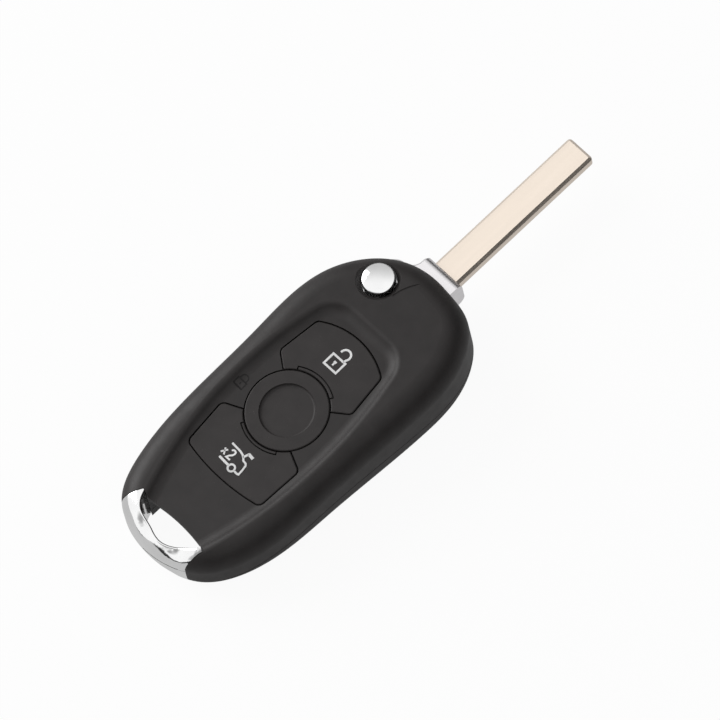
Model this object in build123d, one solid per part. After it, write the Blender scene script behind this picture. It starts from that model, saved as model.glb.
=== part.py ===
"""Folding car remote key with three buttons, blade swung out.

Millimetres. X runs along the blade to its tip, Y to the side where the blade folds away, Z up through
the buttons. The origin is on the flat back, straight below the middle of the round centre button.
"""
import math
import os

from build123d import *

# Body seen from above. Corners are given as far back from an end and as far in from a side
HEAD_REACH = 40.9         # centre button to the end that carries the blade
RING_REACH = 38.6         # centre button to the end that carries the keyring bow
FAR_HALF_WIDTH = 18.3     # folding side
NEAR_HALF_WIDTH = 19.5    # plain side
HEAD_END_Y = -3.0
RING_END_Y = 1.5
FAR_HEAD_CORNER = (4.9, 6.8)
FAR_HEAD_SHOULDER = (13.6, 1.25)
FAR_WIDEST_AT = 8.0
FAR_FLANK_AT = -11.0
FAR_RING_SHOULDER = (13.0, 1.3)
FAR_RING_CORNER = (3.9, 5.1)
NEAR_HEAD_CORNER = (2.1, 7.4)
NEAR_HEAD_SHOULDER = (10.6, 1.4)
NEAR_WIDEST_AT = 18.0
NEAR_FLANK_AT = -6.5
NEAR_FLANK_INSET = 1.35
NEAR_RING_SHOULDER = (12.3, 3.8)
NEAR_RING_CORNER = (3.3, 9.5)

# Body seen from the side
CREST_HEIGHT = 15.8       # highest line of the front face
CREST_AT = 30.0
CREST_RADIUS = 430.0
SEAM_HEIGHT = 5.0         # parting line between the two shells at its highest
SEAM_AT = 5.0
SEAM_RADIUS = 245.0
TOP_EDGE_ROUND = 5.0
BACK_EDGE_ROUND = 2.8

# Walls
SHELL_WALL = 2.0
BACK_FLOOR = 1.6
DECK_WALL = 0.8           # shell left under the button tray
SEAT_GAP = 0.05           # between pieces that rest on each other
SEAM_GAP = 0.2            # shadow line between the two shells

# Sunken panel around the buttons
VALLEY_DEPTH = 1.2
VALLEY_ROUND = 3.4
VALLEY_HALF_WIDTH = 14.3
VALLEY_WIDEST_AT = -2.0
VALLEY_SIDE_RADIUS = 95.0
VALLEY_END_MARGIN = 4.3   # unlock button to the end of the panel
VALLEY_CORNER = 6.8
VALLEY_OVERRUN = 1.0      # how far the cutter runs past the ring end
VALLEY_SHOULDER_ROUND = 1.6

# Buttons
DISC_RADIUS = 8.65
BUTTON_GAP = 0.25
BUTTON_PROUD = 0.1
BUTTON_CAP = 1.2
BUTTON_TRAVEL = 0.5
BUTTON_FLOOR_GAP = 0.1    # left under a pressed button
BUTTON_EDGE_ROUND = 0.25
DISH_RADIUS = 5.8
DISH_DEPTH = 0.55
UNLOCK_INNER_AT = 8.2     # where the outer corners nearest the disc lie
UNLOCK_OUTER_AT = 17.6
UNLOCK_END_AT = 20.4
UNLOCK_INNER_HALF = 10.3
UNLOCK_OUTER_HALF = 9.2
BOOT_INNER_AT = -7.6
BOOT_OUTER_AT = -17.9
BOOT_END_AT = -19.0
BOOT_INNER_HALF = 11.1
BOOT_OUTER_HALF = 10.4
SLANT_ANGLE = 50.0        # where a button's slanting edge meets the disc, from the X axis
BUTTON_CORNER = 1.3
ARC_STRIP_WIDTH = 0.55    # strip left standing between the disc and the arc groove
ARC_STRIP_HALF_ANGLE = 31.0
ARC_GROOVE_WIDTH = 0.28
ARC_GROOVE_DEPTH = 0.7
PLUNGER_RADIUS = 2.1
PLUNGER_CLEARANCE = 0.25
PLUNGER_FOOT_RADIUS = 2.9
PLUNGER_FOOT_HEIGHT = 0.5
UNLOCK_SWITCH_AT = 13.0
BOOT_SWITCH_AT = -12.5

# Folding blade and its pivot
PIVOT_BACK = 8.7          # end of the head to the pivot
PIVOT_Y = 6.4
BLADE_LENGTH = 38.2
BLADE_WIDTH = 6.75
BLADE_THICKNESS = 3.0
BLADE_MIDDLE_HEIGHT = 7.4
BLADE_TIP_CORNER = 0.75
BLADE_TIP_BEVEL = 0.6
TANG_LENGTH = 6.0
TANG_WIDTH = 4.4
HUB_HEIGHT = 7.2
HUB_RADIUS = 7.4
HUB_FRONT = 11.8          # pivot to the hub's front face
HUB_NECK_WIDTH = 9.6
HUB_NECK_FILLET = 2.6
HUB_NOSE_ROUND = 1.6
HUB_EDGE_BEVEL = 0.4
HUB_CLEARANCE = 0.3
PIN_RADIUS = 0.8
PIN_BACK = 4.7            # hub's front face to the roll pin
PIN_CLEARANCE = 0.02
PIN_SLIT = 0.3
SPIGOT_RADIUS = 2.4
SPIGOT_HEIGHT = 1.1
SPIGOT_CLEARANCE = 0.05
SPIGOT_TOP_GAP = 0.15
HUB_WEB = 0.8             # floor between the spigot's recess and the button's bore
BLADE_SLOT_GAP = 0.4      # between the folded blade and the slot around it
BLADE_SLOT_TOP_GAP = 0.32

# Chrome release button on the pivot
CAP_RADIUS = 3.4
CAP_HOLE_GAP = 0.35
CAP_PROUD = 0.3           # rim above the front face
CAP_DOME = 0.6
CAP_RIM_ROUND = 0.25
CAP_SEAT_RADIUS = 4.7
CAP_SEAT_DEPTH = 0.9
RELEASE_TRAVEL = 1.5
FLANGE_RADIUS = 4.4
FLANGE_THICKNESS = 0.7
FLANGE_ROOM = 1.0         # hub's pocket to the top of the flange
FLANGE_CLEARANCE = 0.3
STEM_RADIUS = 2.6
STEM_LENGTH = 3.0
STEM_CLEARANCE = 0.08
KEY_LENGTH = 7.0
KEY_WIDTH = 1.6
KEY_HEIGHT = 1.4
BORE_GAP = 0.2            # left under the pressed release button

# Crease in the front face beside the release button
CREASE_START = (-0.5, -4.9)   # from the pivot
CREASE_MIDDLE = (1.9, -5.5)
CREASE_END = (4.6, -6.9)
CREASE_WIDTH = 0.5
CREASE_DEPTH = 0.16

# Springs
FLIP_WIRE = 0.8
FLIP_COIL_RADIUS = 5.3
FLIP_TURNS = 4
FLIP_PITCH = 0.95
FLIP_CLEARANCE = 0.3
RELEASE_WIRE = 0.45
RELEASE_COIL_RADIUS = 1.7
RELEASE_TURNS = 4

# Keyring bow
BOW_DEPTH = 7.4           # ring end to the shells' end wall behind the hole
BOW_WALL_SAG = 0.7
BOW_WALL_UNDERCUT = 2.9   # how far the end wall leans back towards the flat back
BOW_WALL_LIP = 0.5        # upright part of that wall at its top
BOW_NEAR_INSET = 10.9     # plain side to the seam there
BOW_FAR_INSET = 8.6       # folding side to the seam there
BOW_NEAR_SLOPE = 0.27
BOW_FAR_SLOPE = 0.65
BOW_BAR = 2.0
BOW_SEAM_GAP = 0.12
BOW_LIP_ROUND = 0.35
BOW_LINE_HEIGHT = 4.9     # engraved line around the bow's outside, at its middle
BOW_LINE_LENGTH = 12.4
BOW_LINE_TILT = 15.0
BOW_LINE_WIDTH = 0.3
BOW_LINE_DEPTH = 0.22
FRAME_BEHIND_WALL = 3.2   # end wall to the bow's cross bar inside the shells
FRAME_BAR_WIDTH = 2.2
FRAME_ARM_WIDTH = 2.0
FRAME_BOTTOM = 2.2
FRAME_THICKNESS = 2.4
FRAME_ARM_REACH = 2.2     # how far the arms run past the end wall
FRAME_CLEARANCE = 0.08
PEG_RADIUS = 0.9

# Circuit board and what is on it
CELL_HEADROOM = 1.1       # cell to board
BOARD_THICKNESS = 1.0
BOARD_NEAR_INSET = 6.9    # plain side to the board's edge
POST_END_INSET = 3.4      # board edges to the posts' middles
POST_FAR_INSET = 2.9
POST_NEAR_INSET = 3.0
POST_PIN_REACH = 0.3
BOARD_MARGIN = 0.7        # around the board inside the shells
BOARD_CORNER = 2.0
CAVITY_END_WALL = 0.9     # bow's cross bar to the room for the electronics
PIVOT_WALL = 1.9          # hub's pocket to the room for the electronics
SLOT_WALL = 1.2
POST_RADIUS = 1.5
POST_PIN_RADIUS = 0.7
POST_CLEARANCE = 0.05
SWITCH_SIZE = 4.0
SWITCH_HEIGHT = 0.55
SWITCH_STEM_RADIUS = 1.2
SWITCH_STEM_HEIGHT = 0.35
MAT_THICKNESS = 0.4
MAT_DOME_RADIUS = 3.6
MAT_DOME_HEIGHT = 1.2
MAT_SKIN = 0.25
MAT_LENGTH = 33.0
MAT_WIDTH = 9.0
CELL_RADIUS = 10.0
CELL_HEIGHT = 3.2
CELL_X = -8.0
CELL_MARGIN = 1.0         # cell to the wall of the blade's slot
CONTACT_SHEET = 0.25
CONTACT_WIDTH = 5.0
CELL_CORNER = 0.5
TRANSPONDER_LENGTH = 12.0
TRANSPONDER_WIDTH = 6.0
TRANSPONDER_HEIGHT = 3.0
TRANSPONDER_X = 11.0
TRANSPONDER_INSET = 3.6   # board's edge to the transponder's middle
CHIP_SIZE = 6.4
CHIP_HEIGHT = 0.9
CRYSTAL_LENGTH = 5.0
CRYSTAL_WIDTH = 3.2
CRYSTAL_HEIGHT = 1.2
COIL_LENGTH = 6.2
COIL_WIDTH = 4.6
COIL_HEIGHT = 1.3
SMALL_PART_LENGTH = 1.6
SMALL_PART_WIDTH = 0.8
SMALL_PART_HEIGHT = 0.5
SMALL_PARTS = 6
SMALL_PART_PITCH = 2.1
SMALL_PARTS_AT = -17.6
SMALL_PARTS_INSET = 2.4   # board's edge to the row
CHIPS_INSET = 4.0
CHIP_AT = 6.0
CRYSTAL_AT = -3.5

# Worked out from the sizes above
PIVOT_X = HEAD_REACH - PIVOT_BACK
VALLEY_END_AT = UNLOCK_END_AT + VALLEY_END_MARGIN
BOW_WALL_AT = -RING_REACH + BOW_DEPTH
BOW_NEAR_SEAM = -NEAR_HALF_WIDTH + BOW_NEAR_INSET
BOW_APEX_Y = FAR_HALF_WIDTH - BOW_FAR_INSET
BOARD_NEAR_Y = -NEAR_HALF_WIDTH + BOARD_NEAR_INSET
CAVITY_BACK_AT = BOW_WALL_AT + FRAME_BEHIND_WALL + FRAME_BAR_WIDTH + CAVITY_END_WALL
CAVITY_FRONT_AT = PIVOT_X - HUB_RADIUS - HUB_CLEARANCE - PIVOT_WALL
BLADE_TOP = BLADE_MIDDLE_HEIGHT + BLADE_THICKNESS / 2
BLADE_BOTTOM = BLADE_MIDDLE_HEIGHT - BLADE_THICKNESS / 2
HUB_TOP = BLADE_MIDDLE_HEIGHT + HUB_HEIGHT / 2
HUB_BOTTOM = BLADE_MIDDLE_HEIGHT - HUB_HEIGHT / 2
HUB_FRONT_X = PIVOT_X + HUB_FRONT
POCKET_TOP = HUB_TOP + HUB_CLEARANCE
POCKET_BOTTOM = HUB_BOTTOM - HUB_CLEARANCE
HUB_SWEEP = math.hypot(HUB_FRONT, PIVOT_Y + HUB_NECK_WIDTH / 2) + HUB_CLEARANCE
FOLDED_BLADE_Y = 2 * PIVOT_Y
FOLDED_TIP_X = PIVOT_X - HUB_FRONT - BLADE_LENGTH
SLOT_INNER_Y = FOLDED_BLADE_Y - BLADE_WIDTH / 2 - BLADE_SLOT_GAP
SLOT_TOP = BLADE_TOP + BLADE_SLOT_TOP_GAP
SLOT_BACK_X = FOLDED_TIP_X - 2 * BLADE_SLOT_GAP
CAVITY_FAR_Y = SLOT_INNER_Y - SLOT_WALL
CELL_Y = CAVITY_FAR_Y - CELL_RADIUS - CELL_MARGIN
TRAY_DEPTH = VALLEY_DEPTH + BUTTON_CAP + BUTTON_TRAVEL + BUTTON_FLOOR_GAP
DECK_DROP = TRAY_DEPTH + DECK_WALL
PIVOT_WALL_Y = PIVOT_Y - SLOT_WALL
HUB_RECESS_TOP = POCKET_BOTTOM + SPIGOT_HEIGHT + SPIGOT_TOP_GAP
BORE_BOTTOM = HUB_RECESS_TOP + HUB_WEB
FLANGE_TOP = POCKET_TOP + FLANGE_ROOM
FLANGE_BOTTOM = FLANGE_TOP - FLANGE_THICKNESS
STEM_BOTTOM = FLANGE_BOTTOM - STEM_LENGTH
COUNTERBORE_BOTTOM = FLANGE_BOTTOM - RELEASE_TRAVEL - BORE_GAP
FLIP_SPRING_TOP = POCKET_BOTTOM + SEAT_GAP + FLIP_WIRE + FLIP_TURNS * FLIP_PITCH
CELL_BOTTOM = BACK_FLOOR + CONTACT_SHEET + SEAT_GAP
CELL_TOP = CELL_BOTTOM + CELL_HEIGHT
BOARD_BOTTOM = CELL_TOP + CELL_HEADROOM
BOARD_TOP = BOARD_BOTTOM + BOARD_THICKNESS
BOARD_BACK_X = CAVITY_BACK_AT + BOARD_MARGIN
BOARD_FRONT_X = CAVITY_FRONT_AT - BOARD_MARGIN
BOARD_FAR_Y = CAVITY_FAR_Y - BOARD_MARGIN
BOARD_NOTCH_Y = PIVOT_WALL_Y - BOARD_MARGIN
POSTS = (
    (BOARD_BACK_X + POST_END_INSET, BOARD_NEAR_Y + POST_NEAR_INSET),
    (BOARD_BACK_X + POST_END_INSET, BOARD_FAR_Y - POST_FAR_INSET),
    (BOARD_FRONT_X - POST_END_INSET, BOARD_NOTCH_Y - POST_FAR_INSET),
    (BOARD_FRONT_X - POST_END_INSET, BOARD_NEAR_Y + POST_NEAR_INSET),
)
PLUNGER_END = BOARD_TOP + MAT_DOME_HEIGHT + BUTTON_TRAVEL + BUTTON_FLOOR_GAP
INNER_OUTLINE_POINTS = 24
BIG = 120.0


def crest_height(x):
    """Height of the front face's crest line at x."""
    return CREST_HEIGHT - CREST_RADIUS + math.sqrt(CREST_RADIUS**2 - (x - CREST_AT) ** 2)


def below_crest(drop):
    """Everything below the front face's crest surface lowered by drop."""
    barrel = Cylinder(CREST_RADIUS, BIG, rotation=(90, 0, 0))
    return Pos(CREST_AT, 0, CREST_HEIGHT - CREST_RADIUS - drop) * barrel


def below_seam(gap=0.0):
    """Everything below the parting surface, or that much lower."""
    barrel = Cylinder(SEAM_RADIUS, BIG, rotation=(90, 0, 0))
    return Pos(SEAM_AT, 0, SEAM_HEIGHT - SEAM_RADIUS - gap) * barrel


def slab(x0, x1, y0, y1, z0, z1):
    """Box between two corners."""
    middle = Pos((x0 + x1) / 2, (y0 + y1) / 2, (z0 + z1) / 2)
    return middle * Box(x1 - x0, y1 - y0, z1 - z0)


def rod(x, y, z0, z1, radius):
    """Upright round bar between two heights."""
    return Pos(x, y, (z0 + z1) / 2) * Cylinder(radius, z1 - z0)


def prism(face, z0, z1):
    """Plan outline raised between two heights."""
    return Pos(0, 0, z0) * extrude(face, z1 - z0, dir=(0, 0, 1))


def body_outline():
    """Closed curve around the body seen from above."""
    points = [
        (HEAD_REACH, HEAD_END_Y),
        (HEAD_REACH - FAR_HEAD_CORNER[0], FAR_HALF_WIDTH - FAR_HEAD_CORNER[1]),
        (HEAD_REACH - FAR_HEAD_SHOULDER[0], FAR_HALF_WIDTH - FAR_HEAD_SHOULDER[1]),
        (FAR_WIDEST_AT, FAR_HALF_WIDTH),
        (FAR_FLANK_AT, FAR_HALF_WIDTH),
        (-RING_REACH + FAR_RING_SHOULDER[0], FAR_HALF_WIDTH - FAR_RING_SHOULDER[1]),
        (-RING_REACH + FAR_RING_CORNER[0], FAR_HALF_WIDTH - FAR_RING_CORNER[1]),
        (-RING_REACH, RING_END_Y),
        (-RING_REACH + NEAR_RING_CORNER[0], -NEAR_HALF_WIDTH + NEAR_RING_CORNER[1]),
        (-RING_REACH + NEAR_RING_SHOULDER[0], -NEAR_HALF_WIDTH + NEAR_RING_SHOULDER[1]),
        (NEAR_FLANK_AT, -NEAR_HALF_WIDTH + NEAR_FLANK_INSET),
        (NEAR_WIDEST_AT, -NEAR_HALF_WIDTH),
        (HEAD_REACH - NEAR_HEAD_SHOULDER[0], -NEAR_HALF_WIDTH + NEAR_HEAD_SHOULDER[1]),
        (HEAD_REACH - NEAR_HEAD_CORNER[0], -NEAR_HALF_WIDTH + NEAR_HEAD_CORNER[1]),
    ]
    return Spline(points, periodic=True)


def inner_plan(wall):
    """The body's outline moved in by a wall thickness."""
    outline = body_outline()
    points = []
    for index in range(INNER_OUTLINE_POINTS):
        share = index / INNER_OUTLINE_POINTS
        along = outline.tangent_at(share)
        points.append(outline.position_at(share) + Vector(-along.Y, along.X) * wall)
    return make_face(Spline(points, periodic=True))


def body_blank():
    """The closed body without any opening, both shells and bow in one."""
    blank = prism(make_face(body_outline()), 0, CREST_HEIGHT + 5) & below_crest(0)
    top = blank.faces().sort_by(Axis.Z)[-1]
    blank = fillet(top.outer_wire().edges(), TOP_EDGE_ROUND)
    blank = fillet(blank.faces().sort_by(Axis.Z)[0].outer_wire().edges(), BACK_EDGE_ROUND)
    return blank


def cavity_plan(wall):
    """Room for the electronics seen from above, that far inside the body's outline."""
    room = inner_plan(wall)
    span = CAVITY_FRONT_AT - CAVITY_BACK_AT
    window = Pos((CAVITY_FRONT_AT + CAVITY_BACK_AT) / 2, CAVITY_FAR_Y - BIG / 2) * Rectangle(span, BIG)
    pivot_wall = Pos(PIVOT_X, PIVOT_WALL_Y + BIG / 2) * Rectangle(2 * (HUB_SWEEP + SLOT_WALL), BIG)
    return (room & window) - pivot_wall


def tray_plan(outline):
    """A button's outline grown by the gap around it."""
    return offset(outline, BUTTON_GAP, kind=Kind.ARC)


def wing_plan(inner_at, inner_half, outer_at, outer_half, end_at):
    """Outline of the button on one side of the disc, with its hollow inner edge."""
    side = 1 if end_at > 0 else -1
    rim = DISC_RADIUS + BUTTON_GAP
    slant = math.radians(SLANT_ANGLE)
    rim_x = side * rim * math.cos(slant)
    rim_y = rim * math.sin(slant)
    edge = [
        ThreePointArc((rim_x, -rim_y), (side * rim, 0), (rim_x, rim_y)),
        Line((rim_x, rim_y), (inner_at, inner_half)),
        Line((inner_at, inner_half), (outer_at, outer_half)),
        ThreePointArc((outer_at, outer_half), (end_at, 0), (outer_at, -outer_half)),
        Line((outer_at, -outer_half), (inner_at, -inner_half)),
        Line((inner_at, -inner_half), (rim_x, -rim_y)),
    ]
    face = make_face(Wire(edge))
    corners = [v for v in face.vertices() if math.hypot(v.X, v.Y) > rim + 1]
    return fillet(corners, BUTTON_CORNER)


def unlock_plan():
    return wing_plan(UNLOCK_INNER_AT, UNLOCK_INNER_HALF, UNLOCK_OUTER_AT, UNLOCK_OUTER_HALF, UNLOCK_END_AT)


def boot_plan():
    return wing_plan(BOOT_INNER_AT, BOOT_INNER_HALF, BOOT_OUTER_AT, BOOT_OUTER_HALF, BOOT_END_AT)


def panel_slice(outline, top_drop, bottom_drop):
    """Outline cut out between two surfaces that follow the front face."""
    column = prism(outline, 0, BIG)
    return column & below_crest(top_drop) - below_crest(bottom_drop)


def plunger(x):
    """Guide post below a button cap with its snap foot and the end that presses the switch."""
    cap_bottom = crest_height(x) - VALLEY_DEPTH - BUTTON_CAP / 2
    foot_top = crest_height(x - PLUNGER_FOOT_RADIUS) - TRAY_DEPTH - DECK_WALL - SEAT_GAP
    post = rod(x, 0, PLUNGER_END, cap_bottom, PLUNGER_RADIUS)
    foot = rod(x, 0, foot_top - PLUNGER_FOOT_HEIGHT, foot_top, PLUNGER_FOOT_RADIUS)
    return post + foot


def arc_band(side, width, half_angle):
    """Plan of a curved band from the disc's rim outwards."""
    rim = DISC_RADIUS + BUTTON_GAP
    far = 4 * DISC_RADIUS
    half = math.radians(half_angle)
    corner = (side * far * math.cos(half), far * math.sin(half))
    wedge = make_face(Polyline((0, 0), corner, (corner[0], -corner[1]), close=True))
    return (Circle(rim + width) - Circle(rim - BUTTON_GAP)) & wedge


def arc_groove(side):
    """Narrow groove around a curved strip that hugs the disc."""
    rim = DISC_RADIUS + BUTTON_GAP
    end_angle = math.degrees(ARC_GROOVE_WIDTH / (rim + ARC_STRIP_WIDTH))
    strip = arc_band(side, ARC_STRIP_WIDTH, ARC_STRIP_HALF_ANGLE)
    groove = arc_band(side, ARC_STRIP_WIDTH + ARC_GROOVE_WIDTH, ARC_STRIP_HALF_ANGLE + end_angle) - strip
    return panel_slice(groove, -VALLEY_DEPTH, VALLEY_DEPTH - BUTTON_PROUD + ARC_GROOVE_DEPTH)


def cap_plate(outline):
    """Button cap that follows the sunken panel, its top edge eased."""
    cap = panel_slice(outline, VALLEY_DEPTH - BUTTON_PROUD, VALLEY_DEPTH + BUTTON_CAP)
    top = cap.faces().sort_by(Axis.Z)[-1]
    return fillet(top.outer_wire().edges(), BUTTON_EDGE_ROUND)


def unlock_button():
    return cap_plate(unlock_plan()) - arc_groove(1) + plunger(UNLOCK_SWITCH_AT)


def boot_button():
    return cap_plate(boot_plan()) - arc_groove(-1) + plunger(BOOT_SWITCH_AT)


def lock_button():
    """Round centre button with a shallow dish."""
    cap = cap_plate(Circle(DISC_RADIUS))
    dish = panel_slice(Circle(DISH_RADIUS), -VALLEY_DEPTH, VALLEY_DEPTH - BUTTON_PROUD + DISH_DEPTH)
    floor = dish.faces().sort_by(Axis.Z)[0]
    dish = fillet(floor.outer_wire().edges(), DISH_DEPTH * 0.9)
    return cap - dish + plunger(0)


def valley_edge(x):
    """Half width of the sunken panel at x."""
    fall = VALLEY_SIDE_RADIUS - math.sqrt(VALLEY_SIDE_RADIUS**2 - (x - VALLEY_WIDEST_AT) ** 2)
    return VALLEY_HALF_WIDTH - fall


def valley():
    """Cutter for the sunken panel, open towards the ring end, with a soft foot."""
    back = -RING_REACH - VALLEY_OVERRUN
    back_y = valley_edge(back)
    front_y = valley_edge(VALLEY_END_AT)
    edge = [
        Line((back, -back_y), (back, back_y)),
        ThreePointArc((back, back_y), (VALLEY_WIDEST_AT, VALLEY_HALF_WIDTH), (VALLEY_END_AT, front_y)),
        Line((VALLEY_END_AT, front_y), (VALLEY_END_AT, -front_y)),
        ThreePointArc((VALLEY_END_AT, -front_y), (VALLEY_WIDEST_AT, -VALLEY_HALF_WIDTH), (back, -back_y)),
    ]
    face = make_face(Wire(edge))
    front_corners = face.vertices().group_by(Axis.X)[-1]
    face = fillet(front_corners, VALLEY_CORNER)
    tool = prism(face, 0, 2 * CREST_HEIGHT) - below_crest(VALLEY_DEPTH)
    floor = tool.faces().sort_by(Axis.Z)[0]
    return fillet(floor.outer_wire().edges().sort_by(Axis.X)[1:], VALLEY_ROUND)


def pocket_plan(inset=0.0):
    """Plan of the room swept by the hub, open around the head on the folding side, or that much smaller."""
    disc = Pos(PIVOT_X, PIVOT_Y) * Circle(HUB_RADIUS + HUB_CLEARANCE - inset)
    near_y = -HUB_NECK_WIDTH / 2 - HUB_CLEARANCE + inset
    mouth = Pos(PIVOT_X + BIG / 2, (PIVOT_Y + near_y) / 2) * Rectangle(BIG, PIVOT_Y - near_y)
    half = Pos(PIVOT_X, PIVOT_Y) * (Circle(HUB_SWEEP - inset) & Pos(0, BIG / 2) * Rectangle(BIG, BIG))
    return disc + mouth + half


def blade_slot():
    """Side slot that takes the folded blade, open to the folding side."""
    return slab(SLOT_BACK_X, PIVOT_X, SLOT_INNER_Y, BIG / 2, 0, SLOT_TOP) - below_seam()


def bow_region(gap=0.0):
    """Plan of the corner that the keyring bow takes, or that much larger."""
    wall = BOW_WALL_AT + gap
    near = BOW_NEAR_SEAM - gap
    apex = BOW_APEX_Y + gap
    far_x = -2 * RING_REACH
    hook_x = wall - 2 * BOW_WALL_SAG
    near_end = near + BOW_NEAR_SLOPE * (hook_x - far_x)
    apex_end = apex + BOW_FAR_SLOPE * (wall - far_x)
    near_foot = (wall - BOW_WALL_SAG, near + 1.6 * BOW_WALL_SAG)
    far_foot = (wall - BOW_WALL_SAG, apex - 2.7 * BOW_WALL_SAG)
    edge = [
        Line((far_x, near_end), (hook_x, near)),
        Line((hook_x, near), near_foot),
        ThreePointArc(near_foot, (wall, (near_foot[1] + far_foot[1]) / 2), far_foot),
        Line(far_foot, (wall, apex)),
        Line((wall, apex), (far_x, apex_end)),
        Line((far_x, apex_end), (far_x, near_end)),
    ]
    return make_face(Wire(edge))


def bow_undercut():
    """Cutter that leans the shells' end wall back below its top edge."""
    half = (BOW_APEX_Y - BOW_NEAR_SEAM) / 2 - 3 * BOW_WALL_SAG
    middle = (BOW_APEX_Y + BOW_NEAR_SEAM) / 2 - BOW_WALL_SAG / 2
    radius = (half**2 + BOW_WALL_SAG**2) / (2 * BOW_WALL_SAG)
    top = crest_height(BOW_WALL_AT) - VALLEY_DEPTH - BOW_WALL_LIP
    cone = Pos(BOW_WALL_AT - radius, middle, top / 2) * Cone(radius + BOW_WALL_UNDERCUT, radius, top)
    near = BOW_NEAR_SEAM + 2.4 * BOW_WALL_SAG
    far = BOW_APEX_Y - 1.5 * BOW_WALL_SAG
    return cone & slab(-RING_REACH, 0, near, far, 0, top)


def bow_hole():
    """Plan of the hole for the keyring."""
    bar = -RING_REACH + BOW_BAR
    start = (BOW_WALL_AT - 1.3 * BOW_WALL_SAG, BOW_NEAR_SEAM + 1.3 * BOW_WALL_SAG)
    end = (BOW_WALL_AT + 0.3 * BOW_WALL_SAG, BOW_APEX_Y - BOW_WALL_SAG / 2)
    middle_y = (start[1] + end[1]) / 2
    quarter_y = (end[1] - start[1]) / 4
    outer = Spline(
        start,
        (bar + BOW_WALL_SAG, middle_y - 1.25 * quarter_y),
        (bar, middle_y - 0.15 * quarter_y),
        (bar + BOW_WALL_SAG, middle_y + 0.95 * quarter_y),
        end,
    )
    inner = [Line(end, (0, end[1])), Line((0, end[1]), (0, start[1])), Line((0, start[1]), start)]
    return make_face(Wire([outer, *inner]))


def bow_line():
    """Cutter for the fine line that runs aslant around the bow's outside."""
    ring = inner_plan(-BOW_LIP_ROUND) - inner_plan(BOW_LINE_DEPTH)
    stripe = Pos(-RING_REACH, BOW_NEAR_SEAM + BOW_LINE_LENGTH / 2, BOW_LINE_HEIGHT) * (
        Rot(-BOW_LINE_TILT, 0, 0) * Box(RING_REACH / 2, BOW_LINE_LENGTH, BOW_LINE_WIDTH)
    )
    return prism(ring, 0, CREST_HEIGHT) & stripe


def bow_frame(clearance=0.0):
    """Two arms and a cross bar that hold the bow between the shells, or the room for them."""
    z0 = FRAME_BOTTOM - clearance
    z1 = FRAME_BOTTOM + FRAME_THICKNESS + clearance
    bar_back = BOW_WALL_AT + FRAME_BEHIND_WALL - clearance
    bar_front = BOW_WALL_AT + FRAME_BEHIND_WALL + FRAME_BAR_WIDTH + clearance
    arm_back = BOW_WALL_AT - FRAME_ARM_REACH - clearance
    near = BOW_NEAR_SEAM - FRAME_ARM_WIDTH - clearance
    far = BOW_APEX_Y + FRAME_ARM_WIDTH + clearance
    bar = slab(bar_back, bar_front, near, far, z0, z1)
    near_arm = slab(arm_back, bar_front, near, BOW_NEAR_SEAM + 0.5, z0, z1)
    far_arm = slab(arm_back, bar_front, BOW_APEX_Y - 0.3, far, z0, z1)
    return bar + near_arm + far_arm


def is_hole_rim(edge):
    """True for the long edge where the keyring hole meets the bow's top."""
    middle = edge.position_at(0.5)
    inside = BOW_WALL_AT - BOW_WALL_SAG > middle.X > -RING_REACH + BOW_BAR / 2
    return inside and middle.Z > FRAME_BOTTOM + FRAME_THICKNESS and edge.length > RING_REACH / 3


def peg(radius, z0, z1):
    """Peg through the bow's cross bar."""
    return rod(BOW_WALL_AT + FRAME_BEHIND_WALL + FRAME_BAR_WIDTH / 2, 0, z0, z1, radius)


def keyring_bow(blank):
    """Cast bow: the loop at the corner and the frame that the shells hold."""
    loop = blank & prism(bow_region(), -BIG, BIG)
    loop -= prism(bow_hole(), -BIG, BIG)
    rims = [edge for edge in loop.edges() if is_hole_rim(edge)]
    loop = fillet(rims, BOW_LIP_ROUND)
    loop -= bow_line()
    return loop + bow_frame() - peg(PEG_RADIUS + FRAME_CLEARANCE, 0, CREST_HEIGHT)


def cavity(bottom):
    """Room for the electronics from that height up to the button deck."""
    return prism(cavity_plan(SHELL_WALL), bottom, CREST_HEIGHT) & below_crest(DECK_DROP)


def button_tray():
    """Sunken tray for the three caps and the plungers' holes through its floor."""
    outline = tray_plan(unlock_plan()) + tray_plan(boot_plan()) + tray_plan(Circle(DISC_RADIUS))
    tray = panel_slice(outline, -VALLEY_DEPTH, TRAY_DEPTH)
    for x in (UNLOCK_SWITCH_AT, 0, BOOT_SWITCH_AT):
        tray += rod(x, 0, BOARD_TOP, crest_height(x) - VALLEY_DEPTH, PLUNGER_RADIUS + PLUNGER_CLEARANCE)
    return tray


def cap_opening():
    """Hole for the chrome button with its conical seat and the flange's room below."""
    hole = CAP_RADIUS + CAP_HOLE_GAP
    seat_middle = crest_height(PIVOT_X) - CAP_SEAT_DEPTH / 2
    bore = rod(PIVOT_X, PIVOT_Y, HUB_TOP, 2 * CREST_HEIGHT, hole)
    seat = Pos(PIVOT_X, PIVOT_Y, seat_middle) * Cone(hole, CAP_SEAT_RADIUS, CAP_SEAT_DEPTH)
    rim = rod(PIVOT_X, PIVOT_Y, seat_middle + CAP_SEAT_DEPTH / 2, 2 * CREST_HEIGHT, CAP_SEAT_RADIUS)
    room = rod(PIVOT_X, PIVOT_Y, HUB_TOP, FLANGE_TOP + SEAT_GAP, FLANGE_RADIUS + FLANGE_CLEARANCE)
    return bore + seat + rim + room


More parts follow.
